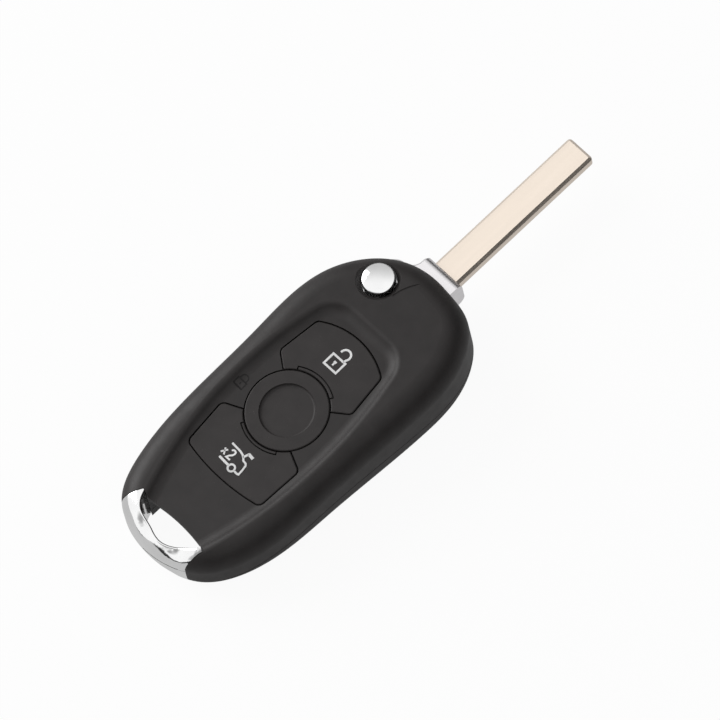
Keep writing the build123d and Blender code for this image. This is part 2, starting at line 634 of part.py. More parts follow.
def front_shell(blank):
    """Moulded front shell with the sunken panel, the button tray and the blade's side slot."""
    shell = blank - below_seam(-SEAM_GAP) - valley()
    crest = [edge for edge in shell.edges() if is_valley_shoulder(edge)]
    shell = fillet(crest, VALLEY_SHOULDER_ROUND)
    shell = shell - cavity(0) - button_tray() - blade_slot() - cap_opening()
    shell -= prism(pocket_plan(), 0, POCKET_TOP)
    shell = shell - prism(bow_region(BOW_SEAM_GAP), -BIG, BIG)
    shell = shell - bow_undercut() - bow_frame(FRAME_CLEARANCE) - crease()
    return shell + peg(PEG_RADIUS, FRAME_BOTTOM, FRAME_BOTTOM + 2 * FRAME_THICKNESS)


def crease():
    """Cutter for the shallow crease that leaves the release button's seat towards the head's end."""
    places = [(PIVOT_X + x, PIVOT_Y + y) for x, y in (CREASE_START, CREASE_MIDDLE, CREASE_END)]
    path = ThreePointArc(*places)
    plan = make_face(offset(path, CREASE_WIDTH / 2, kind=Kind.ARC))
    return prism(plan, HUB_TOP, BIG) - below_crest(CREASE_DEPTH)


def is_valley_shoulder(edge):
    """True for the edges where the sunken panel's flank meets the front face."""
    middle = edge.position_at(0.5)
    crest = crest_height(middle.X)
    return crest - 0.7 < middle.Z < crest + 0.05 and abs(middle.Y) < VALLEY_HALF_WIDTH + 1


def back_shell(blank):
    """Flat-backed shell with the board's posts and the pivot's spigot."""
    pivot_floor = prism(pocket_plan(SEAT_GAP), BACK_FLOOR, POCKET_BOTTOM)
    shell = blank & (below_seam() + pivot_floor)
    shell = shell - cavity(BACK_FLOOR) - prism(pocket_plan(), POCKET_BOTTOM, POCKET_TOP)
    shell = shell - prism(bow_region(BOW_SEAM_GAP), -BIG, BIG) - bow_undercut() - bow_frame(FRAME_CLEARANCE)
    shell -= peg(PEG_RADIUS + FRAME_CLEARANCE, FRAME_BOTTOM, CREST_HEIGHT)
    for x, y in POSTS:
        shell += rod(x, y, BACK_FLOOR / 2, BOARD_BOTTOM, POST_RADIUS)
        shell += rod(x, y, BOARD_BOTTOM, BOARD_TOP + POST_PIN_REACH, POST_PIN_RADIUS)
    return shell + rod(PIVOT_X, PIVOT_Y, BACK_FLOOR, POCKET_BOTTOM + SPIGOT_HEIGHT, SPIGOT_RADIUS)


def hub_plan():
    disc = Pos(PIVOT_X, PIVOT_Y) * Circle(HUB_RADIUS)
    neck = Pos(PIVOT_X + HUB_FRONT / 2, 0) * Rectangle(HUB_FRONT, HUB_NECK_WIDTH)
    face = disc + neck
    inner = [v for v in face.vertices() if abs(v.Y - HUB_NECK_WIDTH / 2) < 0.01 and v.X < HUB_FRONT_X - 1]
    return fillet(inner, HUB_NECK_FILLET)


def blade_hub():
    """Cast hub: round body on the pivot and a neck with a rounded nose that grips the blade."""
    hub = prism(hub_plan(), HUB_BOTTOM, HUB_TOP)
    nose = [edge for edge in hub.edges().filter_by(Axis.Y) if edge.center().X > HUB_FRONT_X - 0.01]
    hub = fillet(nose, HUB_NOSE_ROUND)
    rim = [
        edge
        for edge in hub.faces().sort_by(Axis.Z)[-1].outer_wire().edges()
        if edge.center().Y > HUB_NECK_WIDTH / 4 and edge.center().X > PIVOT_X + 2
    ]
    hub = chamfer(rim, HUB_EDGE_BEVEL)
    hub -= rod(PIVOT_X, PIVOT_Y, 0, HUB_RECESS_TOP, SPIGOT_RADIUS + SPIGOT_CLEARANCE)
    ring = Circle(FLIP_COIL_RADIUS + FLIP_WIRE / 2 + FLIP_CLEARANCE)
    ring -= Circle(FLIP_COIL_RADIUS - FLIP_WIRE / 2 - FLIP_CLEARANCE)
    hub -= prism(Pos(PIVOT_X, PIVOT_Y) * ring, 0, FLIP_SPRING_TOP + FLIP_CLEARANCE / 2)
    hub -= rod(PIVOT_X, PIVOT_Y, BORE_BOTTOM, POCKET_TOP, STEM_RADIUS + STEM_CLEARANCE)
    hub -= rod(PIVOT_X, PIVOT_Y, COUNTERBORE_BOTTOM, POCKET_TOP, FLANGE_RADIUS + FLANGE_CLEARANCE)
    hub -= key_bar(STEM_CLEARANCE, STEM_BOTTOM - RELEASE_TRAVEL - BORE_GAP, POCKET_TOP)
    hub -= blade_tang()
    return hub - roll_pin(PIN_CLEARANCE)


def key_bar(clearance, z0, z1):
    """Cross key that turns the release button with the hub."""
    x = KEY_LENGTH / 2 + clearance
    y = KEY_WIDTH / 2 + clearance
    return slab(PIVOT_X - x, PIVOT_X + x, PIVOT_Y - y, PIVOT_Y + y, z0, z1)


def blade_tang():
    """Narrow root of the blade inside the hub's neck."""
    y = TANG_WIDTH / 2
    return slab(HUB_FRONT_X - TANG_LENGTH, HUB_FRONT_X, -y, y, BLADE_BOTTOM, BLADE_TOP)


def roll_pin(clearance=0.0):
    """Slotted pin through hub and tang, or the hole for it."""
    x = HUB_FRONT_X - PIN_BACK
    pin = rod(x, 0, HUB_BOTTOM, HUB_TOP, PIN_RADIUS + clearance)
    if clearance:
        return pin
    bore = rod(x, 0, 0, POCKET_TOP, PIN_RADIUS / 2)
    slit = slab(x - 2 * PIN_RADIUS, x, -PIN_SLIT / 2, PIN_SLIT / 2, 0, POCKET_TOP)
    return pin - bore - slit


def blade():
    """Plain uncut blade with rounded tip corners and a bevelled tip."""
    tip = HUB_FRONT_X + BLADE_LENGTH
    y = BLADE_WIDTH / 2
    bar = slab(HUB_FRONT_X, tip, -y, y, BLADE_BOTTOM, BLADE_TOP)
    corners = [edge for edge in bar.edges().filter_by(Axis.Z) if edge.center().X > tip - 0.01]
    bar = fillet(corners, BLADE_TIP_CORNER)
    rims = [edge for edge in bar.edges() if edge.center().X > tip - BLADE_TIP_CORNER and is_level(edge)]
    bar = chamfer(rims, BLADE_TIP_BEVEL)
    return bar + blade_tang() - roll_pin(PIN_CLEARANCE)


def is_level(edge):
    return edge.bounding_box().size.Z < 0.01


def release_button():
    """Chrome button: domed cap, flange below the shell and keyed stem in the hub."""
    dome_radius = (CAP_RADIUS**2 + CAP_DOME**2) / (2 * CAP_DOME)
    rim_height = crest_height(PIVOT_X) + CAP_PROUD
    cap = rod(PIVOT_X, PIVOT_Y, FLANGE_BOTTOM, rim_height + CAP_DOME, CAP_RADIUS)
    ball = Pos(PIVOT_X, PIVOT_Y, rim_height + CAP_DOME - dome_radius) * Sphere(dome_radius)
    cap &= ball + rod(PIVOT_X, PIVOT_Y, 0, rim_height - CAP_DOME, 2 * CAP_RADIUS)
    rim = [edge for edge in cap.edges() if abs(edge.center().Z - rim_height) < CAP_RIM_ROUND / 2]
    cap = fillet(rim, CAP_RIM_ROUND)
    cap += rod(PIVOT_X, PIVOT_Y, FLANGE_BOTTOM, FLANGE_TOP, FLANGE_RADIUS)
    cap += rod(PIVOT_X, PIVOT_Y, STEM_BOTTOM, FLANGE_BOTTOM, STEM_RADIUS)
    return cap + key_bar(0, STEM_BOTTOM, STEM_BOTTOM + KEY_HEIGHT)


def coil_spring(x, y, z0, radius, wire, turns, pitch):
    """Round wire wound upwards from the middle height of its first turn."""
    path = Helix(pitch, turns * pitch, radius)
    start = path.position_at(0)
    section = Plane(origin=start, z_dir=path.tangent_at(0)) * Circle(wire / 2)
    return Pos(x, y, z0) * sweep(section, path=path)


def flip_spring():
    """Torsion spring under the hub that swings the blade out."""
    z0 = POCKET_BOTTOM + SEAT_GAP + FLIP_WIRE / 2
    return coil_spring(PIVOT_X, PIVOT_Y, z0, FLIP_COIL_RADIUS, FLIP_WIRE, FLIP_TURNS, FLIP_PITCH)


def release_spring():
    """Coil spring that lifts the release button."""
    z0 = BORE_BOTTOM + SEAT_GAP + RELEASE_WIRE / 2
    z1 = STEM_BOTTOM - SEAT_GAP - RELEASE_WIRE / 2
    pitch = (z1 - z0) / RELEASE_TURNS
    return coil_spring(PIVOT_X, PIVOT_Y, z0, RELEASE_COIL_RADIUS, RELEASE_WIRE, RELEASE_TURNS, pitch)


def circuit_board():
    """Board on the back shell's posts, notched for the pivot's wall."""
    length = BOARD_FRONT_X - BOARD_BACK_X
    width = BOARD_FAR_Y - BOARD_NEAR_Y
    middle = Pos((BOARD_FRONT_X + BOARD_BACK_X) / 2, (BOARD_NEAR_Y + BOARD_FAR_Y) / 2)
    plate = middle * RectangleRounded(length, width, BOARD_CORNER)
    notch_x = PIVOT_X - HUB_SWEEP - SLOT_WALL - BOARD_MARGIN
    plate -= Pos(notch_x + BIG / 2, BOARD_NOTCH_Y + BIG / 2) * Rectangle(BIG, BIG)
    for x, y in POSTS:
        plate -= Pos(x, y) * Circle(POST_PIN_RADIUS + POST_CLEARANCE)
    return prism(plate, BOARD_BOTTOM, BOARD_TOP)


def tact_switch(x):
    """Low switch below a plunger."""
    half = SWITCH_SIZE / 2
    base = slab(x - half, x + half, -half, half, BOARD_TOP, BOARD_TOP + SWITCH_HEIGHT)
    return base + rod(x, 0, BOARD_TOP, BOARD_TOP + SWITCH_HEIGHT + SWITCH_STEM_HEIGHT, SWITCH_STEM_RADIUS)


def rubber_mat():
    """Soft mat on the board with a hollow dome over each switch."""
    middle = (UNLOCK_SWITCH_AT + BOOT_SWITCH_AT) / 2
    sheet = Pos(middle, 0) * RectangleRounded(MAT_LENGTH, MAT_WIDTH, 2)
    mat = prism(sheet, BOARD_TOP, BOARD_TOP + MAT_THICKNESS)
    for x in (UNLOCK_SWITCH_AT, 0, BOOT_SWITCH_AT):
        mat += rod(x, 0, BOARD_TOP, BOARD_TOP + MAT_DOME_HEIGHT, MAT_DOME_RADIUS)
    for x in (UNLOCK_SWITCH_AT, 0, BOOT_SWITCH_AT):
        mat -= rod(x, 0, BOARD_TOP - 1, BOARD_TOP + MAT_DOME_HEIGHT - MAT_SKIN, MAT_DOME_RADIUS - 0.5)
    return mat


def coin_cell():
    """Lithium coin cell with its stepped negative side down."""
    cell = rod(CELL_X, CELL_Y, CELL_BOTTOM + 0.4, CELL_TOP, CELL_RADIUS)
    cell = fillet(cell.edges().sort_by(Axis.Z)[-1], CELL_CORNER)
    return cell + rod(CELL_X, CELL_Y, CELL_BOTTOM, CELL_TOP - 1, CELL_RADIUS - 1.3)


def minus_contact():
    """Sheet strip under the cell, turned up to the board."""
    x0 = CELL_X - CELL_RADIUS - 2
    y0, y1 = CELL_Y - CONTACT_WIDTH / 2, CELL_Y + CONTACT_WIDTH / 2
    foot = slab(x0, CELL_X, y0, y1, BACK_FLOOR, BACK_FLOOR + CONTACT_SHEET)
    return foot + slab(x0, x0 + CONTACT_SHEET, y0, y1, BACK_FLOOR, BOARD_BOTTOM)


def plus_contact():
    """Sheet strip on top of the cell, turned up to the board."""
    x1 = CELL_X + CELL_RADIUS + 1.5
    y0, y1 = CELL_Y - CONTACT_WIDTH / 2, CELL_Y + CONTACT_WIDTH / 2
    z0 = CELL_TOP + SEAT_GAP
    arm = slab(CELL_X + CELL_RADIUS / 2, x1, y0, y1, z0, z0 + CONTACT_SHEET)
    return arm + slab(x1 - CONTACT_SHEET, x1, y0, y1, z0, BOARD_BOTTOM)


def block_on(x, y, z, length, width, height):
    return slab(x - length / 2, x + length / 2, y - width / 2, y + width / 2, z, z + height)


def transponder():
    """Immobiliser chip in its moulded wedge on the back shell's floor."""
    wedge = block_on(
        TRANSPONDER_X,
        BOARD_NEAR_Y + TRANSPONDER_INSET,
        BACK_FLOOR,
        TRANSPONDER_LENGTH,
        TRANSPONDER_WIDTH,
        TRANSPONDER_HEIGHT,
    )
    return chamfer(wedge.faces().sort_by(Axis.Z)[-1].edges(), 0.6)


def microchip():
    chip = block_on(CHIP_AT, BOARD_NEAR_Y + CHIPS_INSET, BOARD_TOP, CHIP_SIZE, CHIP_SIZE, CHIP_HEIGHT)
    return chamfer(chip.faces().sort_by(Axis.Z)[-1].edges(), 0.15)


def crystal():
    can = block_on(
        CRYSTAL_AT, BOARD_NEAR_Y + CHIPS_INSET, BOARD_TOP, CRYSTAL_LENGTH, CRYSTAL_WIDTH, CRYSTAL_HEIGHT
    )
    return fillet(can.edges().filter_by(Axis.Z), 0.8)


def antenna_coil():
    """Ferrite drum of the short-range antenna."""
    x = BOOT_SWITCH_AT - MAT_DOME_RADIUS - COIL_WIDTH / 2 - 2.2
    drum = block_on(x, 0, BOARD_TOP, COIL_WIDTH, COIL_LENGTH, COIL_HEIGHT)
    groove = slab(x - COIL_WIDTH, x + COIL_WIDTH, -2.4, 2.4, BOARD_TOP + COIL_HEIGHT - 0.3, CREST_HEIGHT)
    return drum - groove


def small_parts():
    """Row of chip resistors and capacitors, each its own solid."""
    row = []
    y = BOARD_NEAR_Y + SMALL_PARTS_INSET
    for index in range(SMALL_PARTS):
        x = SMALL_PARTS_AT + index * SMALL_PART_PITCH
        row.append(block_on(x, y, BOARD_TOP, SMALL_PART_WIDTH, SMALL_PART_LENGTH, SMALL_PART_HEIGHT))
    return Compound(children=row)


def main():
    blank = body_blank()
    nodes = {
        "front_shell": front_shell(blank),
        "back_shell": back_shell(blank),
        "keyring_bow": keyring_bow(blank),
        "unlock_button": unlock_button(),
        "lock_button": lock_button(),
        "boot_button": boot_button(),
        "rubber_mat": rubber_mat(),
        "unlock_switch": tact_switch(UNLOCK_SWITCH_AT),
        "lock_switch": tact_switch(0),
        "boot_switch": tact_switch(BOOT_SWITCH_AT),
        "circuit_board": circuit_board(),
        "microchip": microchip(),
        "crystal": crystal(),
        "antenna_coil": antenna_coil(),
        "small_parts": small_parts(),
        "coin_cell": coin_cell(),
        "plus_contact": plus_contact(),
        "minus_contact": minus_contact(),
        "transponder": transponder(),
        "blade_hub": blade_hub(),
        "blade": blade(),
        "roll_pin": roll_pin(),
        "release_button": release_button(),
        "release_spring": release_spring(),
        "flip_spring": flip_spring(),
    }
    os.makedirs("parts", exist_ok=True)
    for name, shape in nodes.items():
        export_step(shape, f"parts/{name}.step")


if __name__ == "__main__":
    main()
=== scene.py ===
"""Folding car remote key on a plain pale floor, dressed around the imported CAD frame."""
import math

import bpy
from mathutils import Matrix, Vector


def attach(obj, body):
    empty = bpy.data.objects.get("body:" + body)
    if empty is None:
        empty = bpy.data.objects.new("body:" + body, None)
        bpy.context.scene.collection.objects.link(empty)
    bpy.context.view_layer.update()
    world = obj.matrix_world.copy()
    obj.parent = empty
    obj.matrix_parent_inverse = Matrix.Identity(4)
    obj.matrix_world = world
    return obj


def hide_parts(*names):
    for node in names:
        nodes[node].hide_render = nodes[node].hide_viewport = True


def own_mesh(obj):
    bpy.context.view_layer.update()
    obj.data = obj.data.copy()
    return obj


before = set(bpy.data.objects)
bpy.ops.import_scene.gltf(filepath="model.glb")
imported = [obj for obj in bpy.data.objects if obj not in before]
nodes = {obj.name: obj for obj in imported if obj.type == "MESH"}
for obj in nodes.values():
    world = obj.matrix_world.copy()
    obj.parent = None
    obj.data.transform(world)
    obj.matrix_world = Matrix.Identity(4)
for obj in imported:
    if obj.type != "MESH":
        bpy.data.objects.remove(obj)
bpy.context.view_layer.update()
bpy.context.scene.view_settings.view_transform = "Standard"
MM = 0.001


def placed(name, data):
    """New object in the scene, made from its data."""
    thing = bpy.data.objects.new(name, data)
    bpy.context.scene.collection.objects.link(thing)
    return thing


# Front face's crest line and sunken panel, as in the CAD model, in millimetres

CREST_HEIGHT = 15.8
CREST_AT = 30.0
CREST_RADIUS = 430.0
PANEL_DEPTH = 1.2
PANEL_HALF_WIDTH = 14.3
PANEL_WIDEST_AT = -2.0
PANEL_SIDE_RADIUS = 95.0
PANEL_FOOT_ROUND = 3.4
CAP_PROUD = 0.1                    # wide buttons above the panel's floor


def crest_height(x):
    """Height of the front face along its middle."""
    return CREST_HEIGHT - CREST_RADIUS + math.sqrt(CREST_RADIUS**2 - (x - CREST_AT) ** 2)


def button_height(x, y):
    """Top of the wide buttons, level across the key."""
    return crest_height(x) - PANEL_DEPTH + CAP_PROUD


def panel_height(x, y):
    """Floor of the sunken panel with the round foot of its flank."""
    fall = PANEL_SIDE_RADIUS - math.sqrt(PANEL_SIDE_RADIUS**2 - (x - PANEL_WIDEST_AT) ** 2)
    into_foot = max(PANEL_FOOT_ROUND - (PANEL_HALF_WIDTH - fall - abs(y)), 0.0)
    rise = PANEL_FOOT_ROUND - math.sqrt(PANEL_FOOT_ROUND**2 - into_foot**2)
    return crest_height(x) - PANEL_DEPTH + rise


# Camera

LENS = 900.0
SENSOR = 36.0
FRAME_WIDTH_M = 0.14458            # width of the view at the object
CLIP_NEAR_M = 0.05
CLIP_FAR_M = 60.0
AIM = Vector((19.29, -0.21, 7.0)) * MM
RIGHT = Vector((0.7138, -0.6918, -0.1080))
UP = Vector((0.6674, 0.6260, 0.4032))


def set_camera():
    """Nearly parallel camera at the photograph's angle."""
    data = bpy.data.cameras.new("camera")
    data.lens = LENS
    data.sensor_width = SENSOR
    data.clip_start = CLIP_NEAR_M
    data.clip_end = CLIP_FAR_M
    camera = placed("camera", data)
    back = RIGHT.cross(UP).normalized()
    up = back.cross(RIGHT).normalized()
    distance = FRAME_WIDTH_M * LENS / SENSOR
    turn = Matrix((RIGHT.normalized(), up, back)).transposed().to_4x4()
    camera.matrix_world = Matrix.Translation(AIM + back * distance) @ turn
    bpy.context.scene.camera = camera


set_camera()


# Materials, with noise scales per metre and bump depths in millimetres

WHITE = (1.0, 1.0, 1.0, 1.0)
PLAIN = (1.0, 1.0, 1.0)
WARM = (1.1, 0.98, 0.97)           # tint of the black plastics
COAT_ROUGHNESS = 0.1
LOW_DETAIL = 2.0
MID_DETAIL = 3.0
HIGH_DETAIL = 4.0
RAMP_AT = (0.3, 0.7)
MIX_A, MIX_B, MIX_RESULT = 6, 7, 2  # colour sockets of a Mix node

PLASTIC_SPECULAR = 0.3
BLOTCH_SCALE = 260.0
BLOTCH_SHARES = (0.88, 1.14)       # of the plain colour
SPECK_SCALE = 2600.0
SPECK_AT = (0.7, 0.78)
SPECK_GAIN = 1.9
WEAR_SCALE = 420.0
WEAR_SPREAD = 0.07
GRAIN_SCALE = 5200.0
GRAIN_STRENGTH = 0.35
GRAIN_DEPTH = 0.012
INK_GRAIN_SCALE = 4200.0
INK_GRAIN_DEPTH = 0.004

HAZE_SCALE = 900.0
HAZE_SPREAD = (-0.03, 0.05)        # around the plain roughness
SHEEN_SCALE = 240.0
SHEEN_SHARES = (0.96, 1.03)
PIT_SCALE = 1500.0
PIT_STRENGTH = 0.1
PIT_DEPTH = 0.01

DRAWN_SCALE = 3600.0
DRAWN_SPREAD = (-0.06, 0.1)
DRAWN_STRETCH = {"X": (0.03, 1.0, 1.0), "Y": (1.0, 0.03, 1.0)}
DRAWN_STRENGTH = 0.12
DRAWN_DEPTH = 0.006
SHADE_SCALE = 300.0
SHADE_SHARES = (0.95, 1.04)

BOARD_COLOR = (0.02, 0.16, 0.06)
BOARD_DARK = (0.02, 0.13, 0.05, 1.0)
BOARD_LIGHT = (0.06, 0.24, 0.09, 1.0)
BOARD_GLOSS = 0.3
TRACK_SCALE = 700.0
TRACK_AT = (0.35, 0.4)
TRACK_STRENGTH = 0.2
TRACK_DEPTH = 0.02


def shader(name, color, roughness, metallic=0.0, specular=0.5, coat=0.0):
    """New material with its constants set on the shader; returns it with its nodes and shader."""
    material = bpy.data.materials.new(name)
    material.use_nodes = True
    tree = material.node_tree
    principled = tree.nodes["Principled BSDF"]
    principled.inputs["Base Color"].default_value = (*color, 1.0)
    principled.inputs["Roughness"].default_value = roughness
    principled.inputs["Metallic"].default_value = metallic
    principled.inputs["Specular IOR Level"].default_value = specular
    principled.inputs["Coat Weight"].default_value = coat
    principled.inputs["Coat Roughness"].default_value = COAT_ROUGHNESS
    return material, tree, principled


def add(tree, kind, **values):
    """New node with its named inputs or properties set."""
    node = tree.nodes.new(kind)
    for key, value in values.items():
        if key in node.inputs:
            node.inputs[key].default_value = value
        else:
            setattr(node, key, value)
    return node


def ramp(tree, source, low, high, at=RAMP_AT):
    """Colour between two colours, driven by a source socket."""
    node = tree.nodes.new("ShaderNodeValToRGB")
    for element, place, color in zip(node.color_ramp.elements, at, (low, high)):
        element.position = place
        element.color = color
    tree.links.new(source, node.inputs["Fac"])
    return node.outputs["Color"]


def spread(tree, source, low, high):
    """Source in 0 to 1 mapped between two values."""
    node = tree.nodes.new("ShaderNodeMapRange")
    node.inputs["To Min"].default_value = low
    node.inputs["To Max"].default_value = high
    tree.links.new(source, node.inputs["Value"])
    return node.outputs["Result"]


def noise(tree, scale, detail=MID_DETAIL, stretch=PLAIN):
    """Factor of a noise in object space."""
    where = tree.nodes.new("ShaderNodeTexCoord")
    mapping = tree.nodes.new("ShaderNodeMapping")
    mapping.inputs["Scale"].default_value = stretch
    tree.links.new(where.outputs["Object"], mapping.inputs["Vector"])
    node = add(tree, "ShaderNodeTexNoise", Scale=scale, Detail=detail)
    tree.links.new(mapping.outputs["Vector"], node.inputs["Vector"])
    return node.outputs["Fac"]


def bump(tree, principled, source, strength, depth):
    """Surface relief of a depth in millimetres."""
    node = add(tree, "ShaderNodeBump", Strength=strength, Distance=depth * MM)
    tree.links.new(source, node.inputs["Height"])
    tree.links.new(node.outputs["Normal"], principled.inputs["Normal"])


def grey(value, tint=PLAIN):
    """Opaque colour of one level, slightly tinted."""
    return (value * tint[0], value * tint[1], value * tint[2], 1.0)


def moulded_plastic(name, value, roughness, tint=WARM, grain=GRAIN_SCALE, depth=GRAIN_DEPTH):
    """Satin moulded plastic with a fine grain, faint blotches, worn gloss and light specks."""
    material, tree, principled = shader(name, (value,) * 3, roughness, specular=PLASTIC_SPECULAR)
    dark, light = (grey(value * share, tint) for share in BLOTCH_SHARES)
    blotch = ramp(tree, noise(tree, BLOTCH_SCALE, HIGH_DETAIL), dark, light)
    specks = noise(tree, SPECK_SCALE, LOW_DETAIL)
    speck = ramp(tree, specks, grey(1.0), grey(SPECK_GAIN), SPECK_AT)
    color = add(tree, "ShaderNodeMix", data_type="RGBA", blend_type="MULTIPLY")
    color.inputs["Factor"].default_value = 1.0
    tree.links.new(blotch, color.inputs[MIX_A])
    tree.links.new(speck, color.inputs[MIX_B])
    tree.links.new(color.outputs[MIX_RESULT], principled.inputs["Base Color"])
    wear = spread(tree, noise(tree, WEAR_SCALE), roughness - WEAR_SPREAD, roughness + WEAR_SPREAD)
    tree.links.new(wear, principled.inputs["Roughness"])
    bump(tree, principled, noise(tree, grain, LOW_DETAIL), GRAIN_STRENGTH, depth)
    return material


def chrome(name, value, roughness):
    """Plated metal with a faint haze and tiny pits."""
    material, tree, principled = shader(name, (value,) * 3, roughness, metallic=1.0)
    less, more = (roughness + step for step in HAZE_SPREAD)
    haze = spread(tree, noise(tree, HAZE_SCALE, HIGH_DETAIL), less, more)
    tree.links.new(haze, principled.inputs["Roughness"])
    dark, light = (grey(value * share) for share in SHEEN_SHARES)
    color = ramp(tree, noise(tree, SHEEN_SCALE), dark, light)
    tree.links.new(color, principled.inputs["Base Color"])
    bump(tree, principled, noise(tree, PIT_SCALE, LOW_DETAIL), PIT_STRENGTH, PIT_DEPTH)
    return material


def brushed(name, color, roughness, axis="X"):
    """Metal with fine drawn lines along one axis."""
    material, tree, principled = shader(name, color, roughness, metallic=1.0)
    stretch = DRAWN_STRETCH[axis]
    lines = noise(tree, DRAWN_SCALE, MID_DETAIL, stretch)
    less, more = (roughness + step for step in DRAWN_SPREAD)
    tree.links.new(spread(tree, lines, less, more), principled.inputs["Roughness"])
    dark, light = ((*(level * share for level in color), 1.0) for share in SHADE_SHARES)
    shade = ramp(tree, noise(tree, SHADE_SCALE, LOW_DETAIL, stretch), dark, light)
    tree.links.new(shade, principled.inputs["Base Color"])
    bump(tree, principled, lines, DRAWN_STRENGTH, DRAWN_DEPTH)
    return material


def solder_mask(name):
    """Green solder mask with copper tracks that show through."""
    material, tree, principled = shader(name, BOARD_COLOR, BOARD_GLOSS, coat=BOARD_GLOSS)
    where = tree.nodes.new("ShaderNodeTexCoord")
    tracks = add(tree, "ShaderNodeTexVoronoi", Scale=TRACK_SCALE, distance="MANHATTAN", feature="F1")
    tree.links.new(where.outputs["Object"], tracks.inputs["Vector"])
    color = ramp(tree, tracks.outputs["Distance"], BOARD_DARK, BOARD_LIGHT, TRACK_AT)
    tree.links.new(color, principled.inputs["Base Color"])
    bump(tree, principled, tracks.outputs["Distance"], TRACK_STRENGTH, TRACK_DEPTH)
    return material


case_plastic = moulded_plastic("case_plastic", 0.024, 0.5)
button_plastic = moulded_plastic("button_plastic", 0.028, 0.56)
chrome_plate = chrome("chrome_plate", 0.93, 0.08)
hub_metal = brushed("hub_metal", (0.93, 0.91, 0.92), 0.34, "Y")
blade_metal = brushed("blade_metal", (0.96, 0.85, 0.74), 0.36)
steel = brushed("steel", (0.62, 0.63, 0.64), 0.3)
white_ink = moulded_plastic("white_ink", 0.85, 0.6, PLAIN, INK_GRAIN_SCALE, INK_GRAIN_DEPTH)
# Plastic of the lock mark: the mark is real moulded relief, and its colour, darker than the case, is painted
# shade of that relief
relief_painted_shade = moulded_plastic("relief_painted_shade", 0.008, 0.65)
rubber = moulded_plastic("rubber_grey", 0.08, 0.75)
switch_plastic = moulded_plastic("switch_plastic", 0.5, 0.35, PLAIN)
chip_plastic = moulded_plastic("chip_plastic", 0.03, 0.6)
ferrite = moulded_plastic("ferrite", 0.09, 0.7)
board = solder_mask("board")

finishes = {
    "front_shell": case_plastic,
    "back_shell": case_plastic,
    "keyring_bow": chrome_plate,
    "unlock_button": button_plastic,
    "lock_button": button_plastic,
    "boot_button": button_plastic,
    "rubber_mat": rubber,
    "unlock_switch": switch_plastic,
    "lock_switch": switch_plastic,
    "boot_switch": switch_plastic,
    "circuit_board": board,
    "microchip": chip_plastic,
    "crystal": steel,
    "antenna_coil": ferrite,
    "small_parts": chip_plastic,
    "coin_cell": steel,
    "plus_contact": steel,
    "minus_contact": steel,
    "transponder": chip_plastic,
    "blade_hub": hub_metal,
    "blade": blade_metal,
    "roll_pin": steel,
    "release_button": chrome_plate,
    "release_spring": steel,
    "flip_spring": steel,
}
for node_name, finish in finishes.items():
    node_mesh = nodes[node_name].data
    node_mesh.materials.clear()
    node_mesh.materials.append(finish)


# Copies in the place of three nodes: the bow and the hub with outlines a little closer to the
# photographed key's, and the release spring, which shortens under its button

PIVOT = Vector((32.2, 6.4))
BOW_INSIDE = ((-32.11, -7.69), (-35.9, -4.5), (-36.6, 0.19), (-35.9, 4.88), (-30.99, 9.35))
BOW_INSIDE_SEEN = (
    (-32.11, -7.69),
    (-33.6, -5.25),
    (-35.3, -3.25),
    (-36.3, -0.55),
    (-35.9, 2.65),
    (-34.1, 6.65),
    (-30.99, 9.35),
)
BOW_FULL_WITHIN = 0.5              # from the hole's edge, where the bow moves with it
BOW_STILL_BEYOND = 2.0
CURVE_STEPS = 120
HUB_RIM_FROM = 6.6                 # pivot to where the hub's round starts to move
HUB_TRIM = 1.05
HUB_TRIM_ANGLES = (10.0, 45.0, 140.0, 185.0)  # where the trim begins, is full, fades and ends
SMOOTH_BELOW = math.radians(32)


def smoothstep(value, low, high):
    """Smooth rise from 0 to 1 between two values."""
    share = min(max((value - low) / (high - low), 0.0), 1.0)
    return share * share * (3 - 2 * share)


def smooth_curve(points):
    """Points at equal steps along a smooth curve through the given ones."""
    ends = [Vector(p) for p in points]
    ends = [2 * ends[0] - ends[1], *ends, 2 * ends[-1] - ends[-2]]
    dense = []
    for a, b, c, d in zip(ends, ends[1:], ends[2:], ends[3:]):
        for i in range(CURVE_STEPS):
            t = i / CURVE_STEPS
            bend = (2 * a - 5 * b + 4 * c - d) * t * t + (3 * b - a - 3 * c + d) * t**3
            dense.append(b + ((c - a) * t + bend) / 2)
    dense.append(ends[-2])
    reach = [0.0]
    for a, b in zip(dense, dense[1:]):
        reach.append(reach[-1] + (b - a).length)
    curve, k = [], 0
    for i in range(CURVE_STEPS + 1):
        goal = reach[-1] * i / CURVE_STEPS
        while k < len(reach) - 2 and reach[k + 1] < goal:
            k += 1
        curve.append(dense[k].lerp(dense[k + 1], (goal - reach[k]) / (reach[k + 1] - reach[k])))
    return curve


hole_edge = smooth_curve(BOW_INSIDE)
hole_edge_seen = smooth_curve(BOW_INSIDE_SEEN)


def bow_shift(x, y, z):
    """The keyring hole's edge moved to its seen outline, and nothing at the bow's outside."""
    here = Vector((x, y))
    gaps = [(here - edge).length for edge in hole_edge]
    nearest = gaps.index(min(gaps))
    share = 1 - smoothstep(gaps[nearest], BOW_FULL_WITHIN, BOW_STILL_BEYOND)
    moved = here + (hole_edge_seen[nearest] - hole_edge[nearest]) * share
    return moved.x, moved.y, z


def hub_shift(x, y, z):
    """The hub's round on the folding side drawn in behind the case's edge."""
    arm = Vector((x, y)) - PIVOT
    if arm.length < HUB_RIM_FROM:
        return x, y, z
    angle = math.degrees(math.atan2(arm.y, arm.x)) % 360
    begin, full, hold, stop = HUB_TRIM_ANGLES
    share = smoothstep(angle, begin, full) * (1 - smoothstep(angle, hold, stop))
    moved = PIVOT + arm * (arm.length - HUB_TRIM * share) / arm.length
    return moved.x, moved.y, z


def as_it_is(x, y, z):
    """No move at all."""
    return x, y, z


